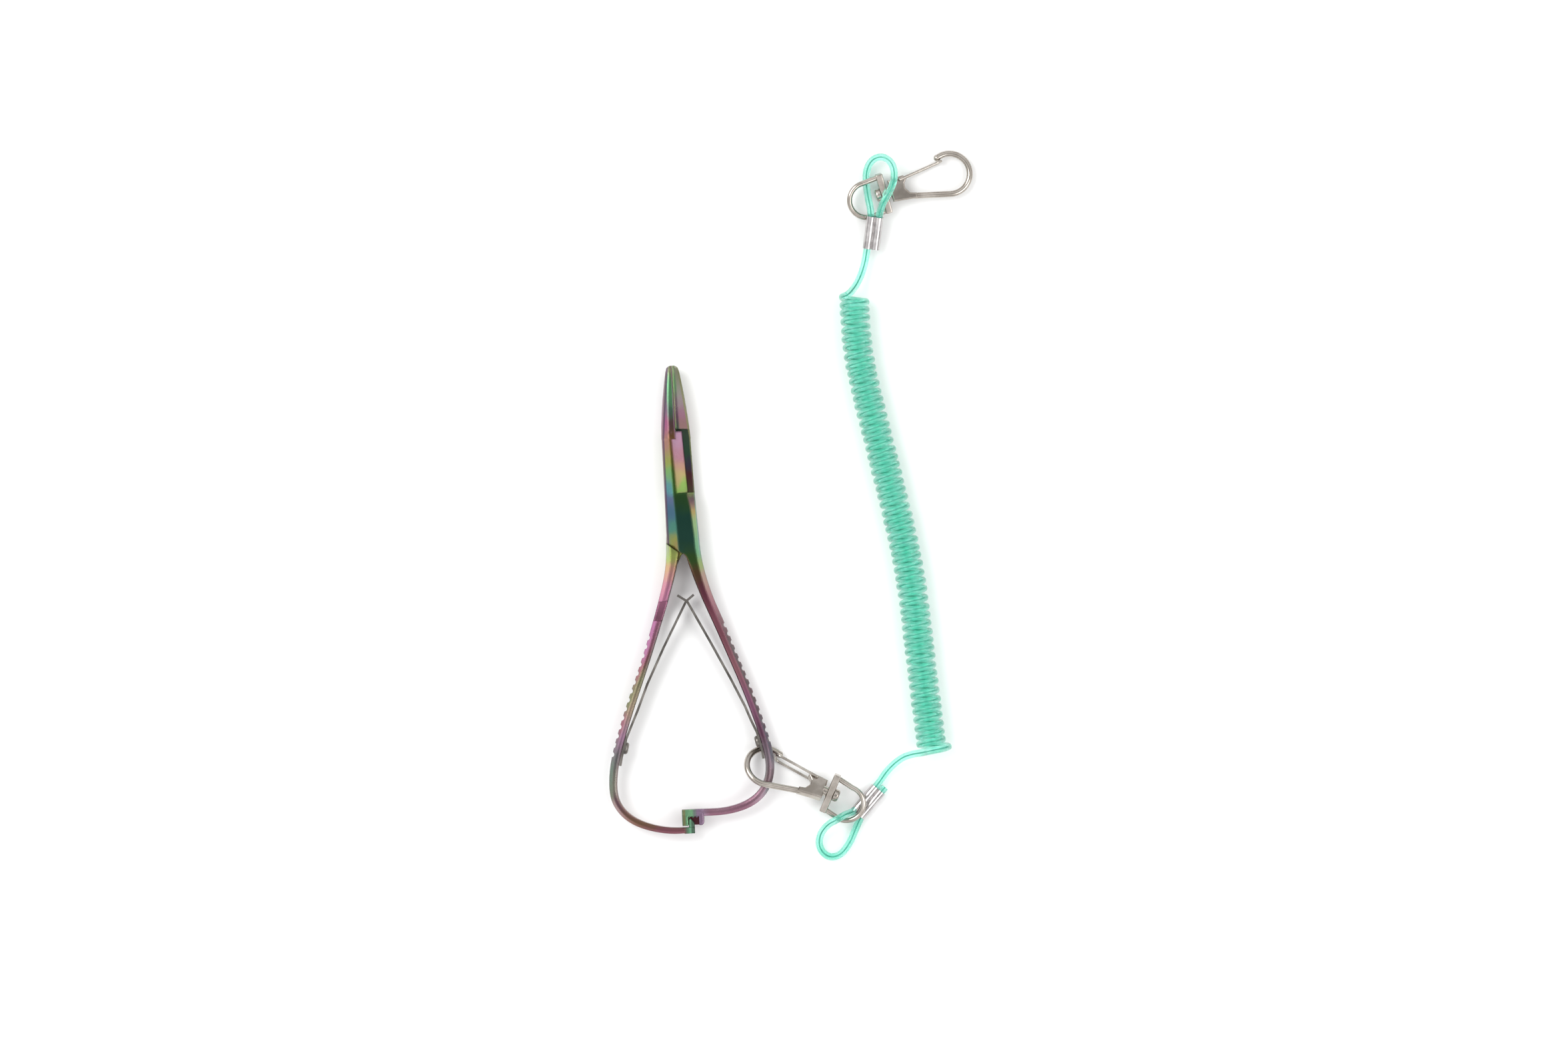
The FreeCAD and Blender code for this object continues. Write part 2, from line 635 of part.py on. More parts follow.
def rounded_path(points):
    """Straight runs joined by tangent arcs, and the radius of each arc."""
    edges, radii = [], []
    at = points[0]
    for i in range(1, len(points) - 1):
        before, after = points[i] - points[i - 1], points[i + 1] - points[i]
        short = min(before.Length, after.Length)
        before.normalize()
        after.normalize()
        turn = before.getAngle(after)
        cut = cord_corner_share * short
        radius = cut / math.tan(turn / 2)
        radii.append(radius)
        start, end = points[i] - before * cut, points[i] + after * cut
        inward = after - before
        inward.normalize()
        middle = points[i] + inward * (radius / math.cos(turn / 2) - radius)
        edges.append(line_edge(at, start))
        edges.append(arc_edge(start, middle, end))
        at = end
    edges.append(line_edge(at, points[-1]))
    return edges, radii


def cord_tube(name, points, radius):
    edges, radii = rounded_path([V(*p) for p in points])
    tube = wire_along(edges, radius)
    length = sum(e.Length for e in edges)
    error = tube.Volume / (math.pi * radius ** 2 * length) - 1
    print(name, "length %.1f" % length, "volume error %.4f" % error, "radii",
          " ".join("%.1f" % r for r in radii))
    return tube


lower_mouth = V(48.9, -66.9, 0)      # middle of the lower ferrule's end towards the loop
lower_ferrule_heading = 47.0
upper_mouth = V(62.9, 111.5, 0)
upper_ferrule_heading = 260.0
ferrule_half_height = cord_radius + ferrule_wall
ferrule_lift = 0.04                  # the ferrule's underside over the table


def along_heading(heading, pitch=0.0):
    yaw, rise = math.radians(heading), math.radians(pitch)
    return V(math.cos(yaw) * math.cos(rise), math.sin(yaw) * math.cos(rise), math.sin(rise))


def ferrule(mouth, heading, pitch):
    """Double-barrel crimp sleeve: two tubes side by side in one wall."""
    along = along_heading(heading, pitch)
    across = V(-math.sin(math.radians(heading)), math.cos(math.radians(heading)), 0)
    outer = cord_radius + ferrule_wall
    shapes, holes = [], []
    for side in (-1, 1):
        at = mouth + across * (side * barrel_spacing / 2)
        shapes.append(cylinder(outer, at, at + along * ferrule_length))
        holes.append(cylinder(cord_radius, at - along, at + along * (ferrule_length + 1)))
    return shapes[0].fuse(shapes[1]).cut(holes[0]).cut(holes[1])


lower_z = ferrule_half_height + ferrule_lift
upper_mouth_z = 4.95
upper_ferrule_pitch = -13.0

# Cord from the lower ferrule's tail, round the ring, back through and up to the coil.
lower_cord_points = [
    (57.6, -59.25, lower_z), (53.9, -63.1, lower_z), (50.3, -67.1, lower_z),
    (48.2, -71.2, 1.12), (46.3, -75.4, 1.15), (43.2, -79.1, 1.15), (39.4, -79.5, 1.2),
    (36.9, -76.4, 1.2), (37.3, -72.5, 2.2), (39.7, -69.4, 5.0), (42.6, -68.0, 6.5), (45.2, -66.6, 5.3),
    (48.0, -66.1, lower_z), (51.6, -62.3, lower_z), (55.5, -58.3, lower_z), (58.6, -54.0, 1.9),
    (63.1, -50.3, 3.3), (67.6, -49.3, 4.3), (71.6, -49.0, 4.6),
]
coil_points = [
    (72.2, -48.6, 4.65), (71.0, -34.0, 4.65), (69.8, -18.0, 4.65), (68.8, -2.0, 4.65),
    (66.9, 13.0, 4.65), (63.9, 28.5, 4.65), (60.7, 44.5, 4.65), (57.4, 60.5, 4.65),
    (55.2, 75.5, 4.65), (55.5, 88.4, 4.65),
]
# Cord from the coil's top into the upper ferrule, under and over the ring, and back.
upper_cord_points = [
    (54.9, 88.4, 4.6), (56.3, 91.3, 3.9), (58.5, 95.7, 2.9), (59.75, 100.3, 2.5), (60.85, 106.4, 3.75),
    (61.9, 112.7, 5.15), (61.0, 117.6, 3.9), (60.7, 122.4, 2.2), (61.1, 126.1, 2.0), (63.0, 129.0, 3.2),
    (66.2, 129.6, 4.5), (68.9, 127.2, 5.7), (69.4, 122.9, 6.4), (67.7, 118.8, 6.7), (65.3, 115.4, 6.2),
    (64.15, 112.1, 5.1), (63.3, 107.0, 3.9), (62.36, 101.9, 2.8),
]


def write(name, shape):
    solids = shape.Solids
    print(name, "solids", len(solids), "volume %.2f" % shape.Volume, "valid", shape.isValid())
    shape = solids[0] if len(solids) == 1 else shape
    shape.exportStep("parts/%s.step" % name)


def clamp_parts():
    front = fuse(jaw(1), blade(1), plate(1), handle_of_half(1, right_handle, right_notch_start), catch())
    back = fuse(jaw(-1), blade(-1), plate(-1), handle_of_half(-1, left_handle, left_notch_start),
                ratchet_hook())
    bore = cylinder(screw_shank_radius + running_fit, pivot - V(0, 0, 1), pivot + V(0, 0, mid_z))
    seat = cylinder(screw_head_radius, pivot - V(0, 0, 1), pivot + V(0, 0, screw_head_height + running_fit))
    back = back.cut(bore).cut(seat)
    thread = cylinder(screw_thread_radius, pivot, pivot + V(0, 0, clamp_thickness - front_skin))
    front = front.cut(thread)
    parts = {}
    right_rivet, left_rivet = spring_rivet(1, right_handle), spring_rivet(-1, left_handle)
    parts["front_half"] = front.cut(right_rivet)
    parts["back_half"] = back.cut(left_rivet)
    parts["pivot_screw"] = pivot_screw()
    parts["right_spring_rivet"], parts["left_spring_rivet"] = right_rivet, left_rivet
    root, arm, hinge = spring_pair(1, right_handle, right_leaf, False, right_rivet)
    parts["right_spring_root"], parts["right_leaf_spring"] = root, arm
    print("right spring hinge", hinge)
    root, arm, hinge = spring_pair(-1, left_handle, left_leaf, True, left_rivet)
    parts["left_spring_root"], parts["left_leaf_spring"] = root, arm
    print("left spring hinge", hinge)
    return parts


def hook_parts():
    parts = {}
    body, gate, rivet = hook_body(), hook_gate(), swivel_rivet()
    axes = hook_axes(lower_heading, 0.0, lower_hook_roll, True)
    place = (lower_hook_origin,) + axes
    parts["lower_hook_body"] = placed(body, *place)
    parts["lower_gate"] = placed(gate, *place)
    parts["lower_swivel_rivet"] = placed(rivet, *place)
    ring_axes = hook_axes(lower_heading, 0.0, lower_ring_roll, True)
    parts["lower_ring"] = placed(swivel_ring(lower_ring_lean), lower_hook_origin, *ring_axes)
    print("lower hook axes", axes, "roll", lower_hook_roll, "gate end", gate_end())
    axes = hook_axes(upper_heading, upper_pitch, 0.0, False)
    place = (upper_hook_origin,) + axes
    parts["upper_hook_body"] = placed(body, *place)
    parts["upper_gate"] = placed(gate, *place)
    parts["upper_swivel_rivet"] = placed(rivet, *place)
    ring_axes = hook_axes(upper_heading, upper_pitch, upper_ring_roll, False)
    parts["upper_ring"] = placed(swivel_ring(upper_ring_lean), upper_hook_origin, *ring_axes)
    print("upper hook axes", axes)
    return parts


def cord_parts():
    parts = {}
    parts["lower_ferrule"] = ferrule(V(lower_mouth.x, lower_mouth.y, lower_z), lower_ferrule_heading, 0.0)
    parts["upper_ferrule"] = ferrule(V(upper_mouth.x, upper_mouth.y, upper_mouth_z), upper_ferrule_heading,
                                     upper_ferrule_pitch)
    parts["lower_cord"] = cord_tube("lower_cord", lower_cord_points, cord_radius)
    parts["coil"] = cord_tube("coil", coil_points, coil_diameter / 2)
    parts["upper_cord"] = cord_tube("upper_cord", upper_cord_points, cord_radius)
    return parts


os.makedirs("parts", exist_ok=True)
for group in (clamp_parts(), hook_parts(), cord_parts()):
    for name, shape in group.items():
        write(name, shape)
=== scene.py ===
# Fishing pliers: a ratchet scissor clamp with a coiled lanyard on two swivel snap hooks.
import bpy
import math
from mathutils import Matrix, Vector


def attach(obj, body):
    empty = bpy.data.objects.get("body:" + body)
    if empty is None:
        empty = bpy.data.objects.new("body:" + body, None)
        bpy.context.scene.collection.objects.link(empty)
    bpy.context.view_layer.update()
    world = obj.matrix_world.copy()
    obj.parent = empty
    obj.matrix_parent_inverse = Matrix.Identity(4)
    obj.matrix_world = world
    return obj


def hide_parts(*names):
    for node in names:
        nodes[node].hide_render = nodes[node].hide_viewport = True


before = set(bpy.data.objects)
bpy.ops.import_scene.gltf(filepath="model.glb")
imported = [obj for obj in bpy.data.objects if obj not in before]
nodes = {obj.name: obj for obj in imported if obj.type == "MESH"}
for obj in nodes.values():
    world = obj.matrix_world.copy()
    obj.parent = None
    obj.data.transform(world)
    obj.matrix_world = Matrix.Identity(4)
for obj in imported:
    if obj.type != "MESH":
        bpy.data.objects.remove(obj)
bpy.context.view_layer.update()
mm = 0.001


# ---- camera: looking straight down, the clamp turned a little on the table

camera = {"target": (31.2, 21.5), "turn": -2.8, "distance": 1500.0, "width": 470.6,    # mm, degrees
          "sensor": 36.0}


def addCamera(spec):
    data = bpy.data.cameras.new("topCamera")
    data.sensor_width = spec["sensor"]
    data.lens = spec["sensor"] * spec["distance"] / spec["width"]
    data.clip_start, data.clip_end = 0.05, 20.0
    cam = bpy.data.objects.new("topCamera", data)
    cam.location = (spec["target"][0] * mm, spec["target"][1] * mm, spec["distance"] * mm)
    cam.rotation_euler = (0, 0, math.radians(spec["turn"]))
    bpy.context.scene.collection.objects.link(cam)
    bpy.context.scene.camera = cam


addCamera(camera)
print("camera in place")


# ---- materials

def linear(hexColour, alpha=1.0):
    channels = [int(hexColour[i:i + 2], 16) / 255 for i in (1, 3, 5)]
    return tuple(c / 12.92 if c <= 0.04045 else ((c + 0.055) / 1.055) ** 2.4
                 for c in channels) + (alpha,)


def addNode(owner, kind, settings=None, inputs=None, links=None):
    node = owner.node_tree.nodes.new(kind)
    for key, value in (settings or {}).items():
        setattr(node, key, value)
    for key, value in (inputs or {}).items():
        node.inputs[key].default_value = value
    for key, source in (links or {}).items():
        owner.node_tree.links.new(source, node.inputs[key])
    return node


def newMaterial(name):
    material = bpy.data.materials.new(name)
    material.use_nodes = True
    return material, material.node_tree.nodes["Principled BSDF"], material.node_tree.links


def fillRamp(node, stops, low, high, mode="EASE"):
    ramp = node.color_ramp
    ramp.interpolation = mode
    stops = sorted(stops)
    while len(ramp.elements) < len(stops):
        ramp.elements.new(0.5)
    for element, (place, colour) in zip(ramp.elements, stops):
        element.position = (place - low) / (high - low)
        element.color = linear(colour)


# Titanium nitride film on polished stainless steel: a thin layer whose colour runs
# through green, gold, pink and blue with its thickness and with the way a face is turned.
# Painted reflections and painted shade are laid into these colours too: darker tones on the
# flats, ramps picked by the way a face leans, shaded rolled edges, a painted highlight along
# the rims, and painted shade in the catch's channel.
filmAndShading = {
    "low": -71.0, "high": 71.0,      # mm along the clamp that the ramps cover
    "drift": 0.035,                  # how far the bands wander, as a share of the ramp
    "driftSize": 9.0,                # mm
    "grain": 0.22,                   # mm, satin polish
    "edge": 0.80,                    # mm, rounding of the polished edges
    "flank": (0.22, 0.60),           # how far a face leans out where a flank's ramp of painted reflections takes over
    "turned": (0.80, 0.96),          # and where the painted shade of the rolled edges takes over
    "turnedShare": 0.8,
    # mm from the middle where a flank rolls over: at the joint, at the jaw's root, and the
    # change from there to the tip
    "rim": {"left": (3.35, 3.35, -2.1), "right": (5.35, 4.15, -2.7)},
    "rimAt": (14.0, 48.0, 70.0),     # mm along the clamp: joint, jaw's root, tip
    "rimWidth": 0.75,                # mm, over which the flank rolls down
    "rimLead": 0.15,                 # mm, how early the roll starts
    "rimFade": (0.35, 0.85),         # share of the roll it fades in over, and its strength
    "fork": (11.0, 16.0),            # mm along, where the rims begin above the handles
    "catchBelow": (-61.8, -62.4),    # mm along, where the catch's colours begin
    "catchAcross": (-4.0, 5.0),      # mm across, what the catch's ramp covers
    "shadeInRecessAt": (4.6, 4.2),          # mm up, below which painted shade fills the catch's channel
    "rough": (0.16, 0.34),
    "polishBump": (0.06, 0.02),      # strength, and mm deep
    "front": {
        # painted shade on the rolled edges, one colour per side
        "leftEdge": "#5c4a60", "rightEdge": "#78817c",
        # the rims' ramps: painted shading of the rolled flank, from darker out to a painted highlight
        "leftRim": [(0.0, "#70628a"), (0.4, "#6e5670"), (0.75, "#8c7a80"), (1.0, "#c2aab4")],
        "rightRim": [(0.0, "#9cc9a0"), (0.35, "#7d9a94"), (0.7, "#8b9894"), (1.0, "#b8bdb9")],
        "catchReach": (6.0, 2.2),    # mm across, where the catch's colours fade in
        # across the catch: its own colours with a painted highlight and painted shade
        "catch": [(-3.6, "#5f7f68"), (-2.9, "#8a8a63"), (-2.2, "#76a67f"), (-0.6, "#83b58b"),
                  (0.2, "#7f8d86"), (1.2, "#98809a"), (4.5, "#9d8296")],
        # painted shade in the catch's channel
        "recessShade": "#5d333c",
        # flat: the film's colour along the flats, with painted dark reflections laid into it
        "flat": [(68, "#6f7457"), (62, "#568a60"), (57, "#465f50"), (52, "#54403f"), (47, "#6b4d30"),
                 (42, "#565426"), (36, "#3d5d28"), (30, "#31502f"), (24, "#27493f"), (18, "#2a4b41"),
                 (13, "#39532c"), (8, "#5a4631"), (2, "#673a46"), (-8, "#85545f"), (-22, "#9c6a73"),
                 (-32, "#966580"), (-41, "#6d4a5e"), (-47, "#7c7078"), (-54, "#766065"), (-60, "#9c7c8a"),
                 (-66, "#8c5e71")],
        "left": [(68, "#8b8a78"), (63, "#7f9f88"), (58, "#a0889a"), (53, "#c4789f"), (47, "#bd8f80"),
                 (42, "#a8b062"), (38, "#8ec078"), (34, "#6ba8ae"), (30, "#7181a4"), (25, "#5c829c"),
                 (21, "#62a08e"), (18, "#a9ab62"), (15, "#c48f7c"), (5, "#5f4d45"), (-10, "#6d4a52"),
                 (-45, "#7d6a74"), (-52, "#a3a5a4"), (-60, "#775262")],
        "right": [(48, "#c792b0"), (44, "#c08596"), (40, "#c49382"), (36, "#bda273"), (33, "#8cac5a"),
                  (30, "#8a626b"), (26, "#a58f5e"), (22, "#86a072"), (16, "#6c9c78"), (11, "#8a9a62"),
                  (6, "#a0857a"), (-2, "#9d6f78"), (-14, "#917178"), (-30, "#8d6a72"), (-45, "#8a7080"),
                  (-55, "#a08f98"), (-62, "#b59aa8")],
    },
    "back": {
        # painted shade on the rolled edges, one colour per side
        "leftEdge": "#7d6f74", "rightEdge": "#6d6058",
        # the rims' ramps: painted shading of the rolled flank, from darker out to a painted highlight
        "leftRim": [(0.0, "#8f8a6a"), (1.0, "#a8b49a")],
        "rightRim": [(0.0, "#8a8d5e"), (0.5, "#8f8f6a"), (1.0, "#b4b0a0")],
        "catchReach": (-3.4, -1.7),
        # across the catch: its own colours with a painted highlight and painted shade
        "catch": [(-3.6, "#84555f"), (-2.0, "#6f9a7c"), (-1.2, "#8abf9c"), (-0.6, "#5f7d68"),
                  (0.3, "#4a5a50")],
        # painted shade in the catch's channel
        "recessShade": "#5d333c",
        # flat: the film's colour along the flats, with painted dark reflections laid into it
        "flat": [(68, "#6d7a62"), (64, "#608260"), (60, "#6c5c62"), (55, "#5b4352"), (50, "#445346"),
                 (45, "#37503f"), (40, "#423f4e"), (36, "#563337"), (30, "#595240"), (22, "#3a5236"),
                 (14, "#9aa45c"), (9, "#bc8e80"), (2, "#b47793"), (-8, "#84576a"), (-17, "#6d474b"),
                 (-25, "#7c7a5e"), (-32, "#9d8877"), (-40, "#9b7891"), (-47, "#6a6869"), (-53, "#7d7d70"),
                 (-60, "#6e525a"), (-66, "#785c4a"), (-70, "#84555f")],
        "left": [(14, "#aac26c"), (9, "#cba57e"), (3, "#c88a9a"), (-4, "#b0739a"), (-14, "#bb80a6"),
                 (-22, "#a9777c"), (-29, "#8a8d6c"), (-36, "#a4727e"), (-43, "#8d7c88"), (-50, "#76857a"),
                 (-57, "#7c8070"), (-62, "#a58c8c"), (-69, "#a0746c")],
        "right": [(66, "#9a9a84"), (61, "#a99a9c"), (56, "#ad7f92"), (51, "#a97f80"), (46, "#868055"),
                  (40, "#7d6d5c"), (34, "#77707c"), (26, "#8f895c"), (10, "#6e5a40"), (0, "#8e767e"),
                  (-16, "#8c8a84"), (-30, "#8b8672"), (-42, "#6f5a66"), (-54, "#a89a96"), (-64, "#a08078")],
    },
}


def edgeSoftened(material, width):
    return addNode(material, "ShaderNodeBevel", {"samples": 4}, {"Radius": width * mm})


def coatedSteel(name, colours):
    material, shader, links = newMaterial(name)
    smooth = {"interpolation_type": "SMOOTHSTEP"}
    colourMix = {"data_type": "RGBA"}
    place = addNode(material, "ShaderNodeTexCoord")
    xyz = addNode(material, "ShaderNodeSeparateXYZ", links={0: place.outputs["Object"]})
    x, y, z = (xyz.outputs[axis] for axis in "XYZ")

    # bands along the clamp, wandering a little
    drift = addNode(material, "ShaderNodeTexNoise",
                    inputs={"Scale": 1000 / filmAndShading["driftSize"], "Detail": 3.0},
                    links={"Vector": place.outputs["Object"]})
    along = addNode(material, "ShaderNodeMapRange",
                    inputs={"From Min": filmAndShading["low"] * mm, "From Max": filmAndShading["high"] * mm}, links={"Value": y})
    centred = addNode(material, "ShaderNodeMath", {"operation": "MULTIPLY_ADD"},
                      {1: filmAndShading["drift"] * 2, 2: -filmAndShading["drift"]}, {0: drift.outputs["Fac"]})
    wander = addNode(material, "ShaderNodeMath", {"operation": "ADD"},
                     links={0: along.outputs[0], 1: centred.outputs[0]})
    ramps = {}
    for side in ("flat", "left", "right"):
        ramps[side] = addNode(material, "ShaderNodeValToRGB", links={"Fac": wander.outputs[0]})
        fillRamp(ramps[side], colours[side], filmAndShading["low"], filmAndShading["high"])
    rounded = edgeSoftened(material, filmAndShading["edge"])
    face = addNode(material, "ShaderNodeSeparateXYZ", links={0: rounded.outputs[0]})
    colour = ramps["flat"].outputs[0]
    # each flank takes its own ramp by the way it leans: film colour with painted reflections, one per side
    near, far = filmAndShading["flank"]
    for sign, side in ((-1, "left"), (1, "right")):
        leaning = addNode(material, "ShaderNodeMapRange", smooth,
                          {"From Min": sign * near, "From Max": sign * far}, {"Value": face.outputs["X"]})
        mix = addNode(material, "ShaderNodeMix", colourMix,
                      links={"Factor": leaning.outputs[0], "A": colour, "B": ramps[side].outputs[0]})
        colour = mix.outputs["Result"]

    # painted shade on the rolled-over edges, laid by the way they face
    near, far = filmAndShading["turned"]
    for sign, key in ((-1, "leftEdge"), (1, "rightEdge")):
        leaning = addNode(material, "ShaderNodeMapRange", smooth,
                          {"From Min": sign * near, "From Max": sign * far, "To Max": filmAndShading["turnedShare"]},
                          {"Value": face.outputs["X"]})
        mix = addNode(material, "ShaderNodeMix", colourMix, {"B": linear(colours[key])},
                      {"Factor": leaning.outputs[0], "A": colour})
        colour = mix.outputs["Result"]

    # painted shading where the flank rolls down to the side along the jaws and the joint, laid by position:
    # a darker tone out to a painted highlight
    joint, root, tip = (place * mm for place in filmAndShading["rimAt"])
    fadeOver, fadeTo = filmAndShading["rimFade"]
    for sign, key in ((-1, "left"), (1, "right")):
        atJoint, atRoot, change = filmAndShading["rim"][key]
        lower = addNode(material, "ShaderNodeMapRange",
                        inputs={"From Min": joint, "From Max": root,
                                "To Min": atJoint * mm, "To Max": atRoot * mm}, links={"Value": y})
        upper = addNode(material, "ShaderNodeMapRange",
                        inputs={"From Min": root, "From Max": tip, "To Min": 0.0, "To Max": change * mm},
                        links={"Value": y})
        start = addNode(material, "ShaderNodeMath", {"operation": "ADD"},
                        links={0: lower.outputs[0], 1: upper.outputs[0]})
        aside = addNode(material, "ShaderNodeMath", {"operation": "MULTIPLY"}, {1: sign}, {0: x})
        past = addNode(material, "ShaderNodeMath", {"operation": "SUBTRACT"},
                       links={0: aside.outputs[0], 1: start.outputs[0]})
        share = addNode(material, "ShaderNodeMapRange",
                        inputs={"From Min": -filmAndShading["rimLead"] * mm, "From Max": filmAndShading["rimWidth"] * mm},
                        links={"Value": past.outputs[0]})
        aboveFork = addNode(material, "ShaderNodeMapRange", smooth,
                            {"From Min": filmAndShading["fork"][0] * mm, "From Max": filmAndShading["fork"][1] * mm},
                            {"Value": y})
        rimRamp = addNode(material, "ShaderNodeValToRGB", links={"Fac": share.outputs[0]})
        fillRamp(rimRamp, colours[key + "Rim"], 0.0, 1.0)
        onRim = addNode(material, "ShaderNodeMapRange", smooth,
                        {"From Min": 0.0, "From Max": fadeOver, "To Max": fadeTo},
                        {"Value": share.outputs[0]})
        weight = addNode(material, "ShaderNodeMath", {"operation": "MULTIPLY"},
                         links={0: onRim.outputs[0], 1: aboveFork.outputs[0]})
        mix = addNode(material, "ShaderNodeMix", colourMix,
                      links={"Factor": weight.outputs[0], "A": colour, "B": rimRamp.outputs[0]})
        colour = mix.outputs["Result"]

    # the ratchet's catch, with its own bands, partly a painted highlight and painted shade across it, and
    # painted shade in its channel
    low, high = filmAndShading["catchAcross"]
    across = addNode(material, "ShaderNodeMapRange", inputs={"From Min": low * mm, "From Max": high * mm},
                     links={"Value": x})
    catchRamp = addNode(material, "ShaderNodeValToRGB", links={"Fac": across.outputs[0]})
    fillRamp(catchRamp, colours["catch"], low, high)
    below = addNode(material, "ShaderNodeMapRange",
                    inputs={"From Min": filmAndShading["catchBelow"][0] * mm, "From Max": filmAndShading["catchBelow"][1] * mm},
                    links={"Value": y})
    reached = addNode(material, "ShaderNodeMapRange", smooth,
                      {"From Min": colours["catchReach"][0] * mm, "From Max": colours["catchReach"][1] * mm},
                      {"Value": x})
    onCatch = addNode(material, "ShaderNodeMath", {"operation": "MULTIPLY"},
                      links={0: below.outputs[0], 1: reached.outputs[0]})
    catchMix = addNode(material, "ShaderNodeMix", colourMix,
                       links={"Factor": onCatch.outputs[0], "A": colour, "B": catchRamp.outputs[0]})
    deep = addNode(material, "ShaderNodeMapRange",
                   inputs={"From Min": filmAndShading["shadeInRecessAt"][0] * mm, "From Max": filmAndShading["shadeInRecessAt"][1] * mm},
                   links={"Value": z})
    inShadedRecess = addNode(material, "ShaderNodeMath", {"operation": "MULTIPLY"},
                       links={0: deep.outputs[0], 1: onCatch.outputs[0]})
    shadeInRecessMix = addNode(material, "ShaderNodeMix", colourMix, {"B": linear(colours["recessShade"])},
                        {"Factor": inShadedRecess.outputs[0], "A": catchMix.outputs["Result"]})
    links.new(shadeInRecessMix.outputs["Result"], shader.inputs["Base Color"])

    # satin polish
    shader.inputs["Metallic"].default_value = 1.0
    grain = addNode(material, "ShaderNodeTexNoise", inputs={"Scale": 1000 / filmAndShading["grain"], "Detail": 2.0},
                    links={"Vector": place.outputs["Object"]})
    rough = addNode(material, "ShaderNodeMapRange",
                    inputs={"To Min": filmAndShading["rough"][0], "To Max": filmAndShading["rough"][1]},
                    links={"Value": drift.outputs["Fac"]})
    links.new(rough.outputs[0], shader.inputs["Roughness"])
    strength, depth = filmAndShading["polishBump"]
    bump = addNode(material, "ShaderNodeBump", inputs={"Strength": strength, "Distance": depth * mm},
                   links={"Height": grain.outputs["Fac"], "Normal": rounded.outputs[0]})
    links.new(bump.outputs[0], shader.inputs["Normal"])
    return material


# Bare metals. Sizes in mm: patch is how wide a lighter or darker patch is, grain the finish's
# own grain, drawn coarse enough to show, and edge how far its edges are rounded over.
springStrip = {      # tempered spring steel, rolled and left bare: dull, dark grey
    "dark": "#6b6763", "light": "#8e8983", "patch": 4.0, "rough": (0.26, 0.40),
    "grain": 0.25, "edge": 0.06, "bump": 0.10,
}
castHook = {         # bright nickel on a cast hook: warm grey and glossy, edges tumbled round
    "dark": "#a69e95", "light": "#c4bdb5", "patch": 5.0, "rough": (0.10, 0.24),
    "grain": 0.35, "edge": 0.25, "bump": 0.10,
}
gateWire = {         # bright nickel on drawn wire: smoother and a little lighter
    "dark": "#a8a199", "light": "#cbc5bd", "patch": 3.0, "rough": (0.08, 0.18),
    "grain": 0.25, "edge": 0.05, "bump": 0.06,
}
crimpSleeve = {      # drawn aluminium tube, pressed flat: pale, with soft reflections
    "dark": "#b0acac", "light": "#cdcac9", "patch": 2.5, "rough": (0.16, 0.30),
    "grain": 0.30, "edge": 0.08, "bump": 0.10,
}
cordWire = {         # thin steel wire, seen green through the cord's jacket
    "dark": "#4b9484", "light": "#6ab09d", "patch": 1.5, "rough": (0.35, 0.50),
    "grain": 0.20, "edge": 0.02, "bump": 0.10,
}
metalBumpDepth = 0.03


def plainMetal(name, spec):
    material, shader, links = newMaterial(name)
    place = addNode(material, "ShaderNodeTexCoord")
    cloud = addNode(material, "ShaderNodeTexNoise", inputs={"Scale": 1000 / spec["patch"], "Detail": 4.0},
                    links={"Vector": place.outputs["Object"]})
    tone = addNode(material, "ShaderNodeValToRGB", links={"Fac": cloud.outputs["Fac"]})
    fillRamp(tone, [(0.3, spec["dark"]), (0.7, spec["light"])], 0.0, 1.0)
    links.new(tone.outputs[0], shader.inputs["Base Color"])
    shader.inputs["Metallic"].default_value = 1.0
    rough = addNode(material, "ShaderNodeMapRange",
                    inputs={"From Min": 0.3, "From Max": 0.7,
                            "To Min": spec["rough"][0], "To Max": spec["rough"][1]},
                    links={"Value": cloud.outputs["Fac"]})
    links.new(rough.outputs[0], shader.inputs["Roughness"])
    fine = addNode(material, "ShaderNodeTexNoise", inputs={"Scale": 1000 / spec["grain"], "Detail": 3.0},
                   links={"Vector": place.outputs["Object"]})
    rounded = edgeSoftened(material, spec["edge"])
    bump = addNode(material, "ShaderNodeBump",
                   inputs={"Strength": spec["bump"], "Distance": metalBumpDepth * mm},
                   links={"Height": fine.outputs["Fac"], "Normal": rounded.outputs[0]})
    links.new(bump.outputs[0], shader.inputs["Normal"])
    return material


# Clear polyurethane tube, tinted sea green and extruded over the wire: glossy, with soft
# cloudy patches, and light passes through it on to the table.
cordTube = {
    "dark": "#6cfadb", "light": "#8cfae6", "patch": 2.5, "rough": (0.08, 0.20),
    "ior": 1.50, "transmission": 0.72, "alpha": 0.58, "bump": (0.05, 0.05),     # strength, mm deep
}


